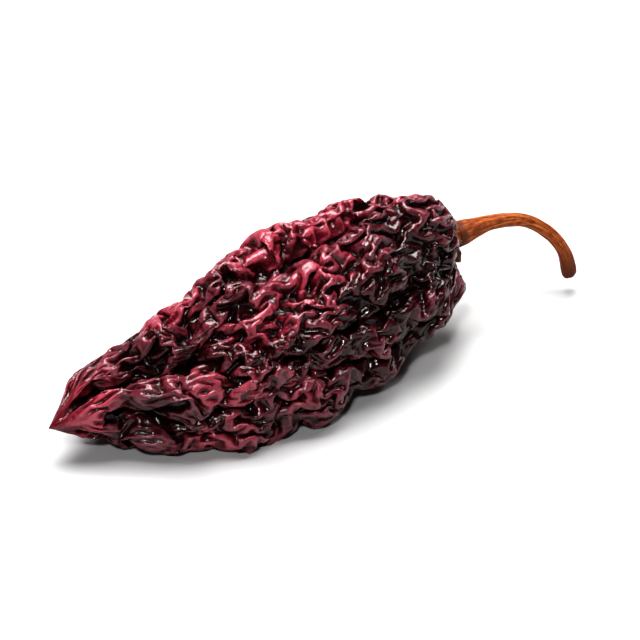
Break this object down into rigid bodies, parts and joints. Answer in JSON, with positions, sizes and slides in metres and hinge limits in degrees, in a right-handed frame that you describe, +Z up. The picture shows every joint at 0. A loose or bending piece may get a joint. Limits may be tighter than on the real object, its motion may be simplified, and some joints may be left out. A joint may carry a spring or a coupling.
{
  "type": "dried ghost pepper",
  "caption": "Dried, wrinkled chilli pod lying on its belly, with a pointed tip, a small shrivelled calyx and a hooked stem.",
  "frame": {"origin": "on the surface the pod lies on, under the middle of the whole object's box", "axes": "+X along the pod from its tip to its stem, +Z up, +Y to the far side"},
  "size_m": [0.074, 0.024, 0.0205],
  "materials": {
    "pod_skin": "dry, leathery, crinkled skin, deep maroon to crimson, with a slight gloss",
    "calyx": "dry and papery, ochre brown, matt",
    "stem": "dry and woody, furrowed, orange brown, matt"
  },
  "bodies": {
    "root": {"pod": "pod_skin", "calyx": "calyx", "stem": "stem"}
  },
  "joints": []
}
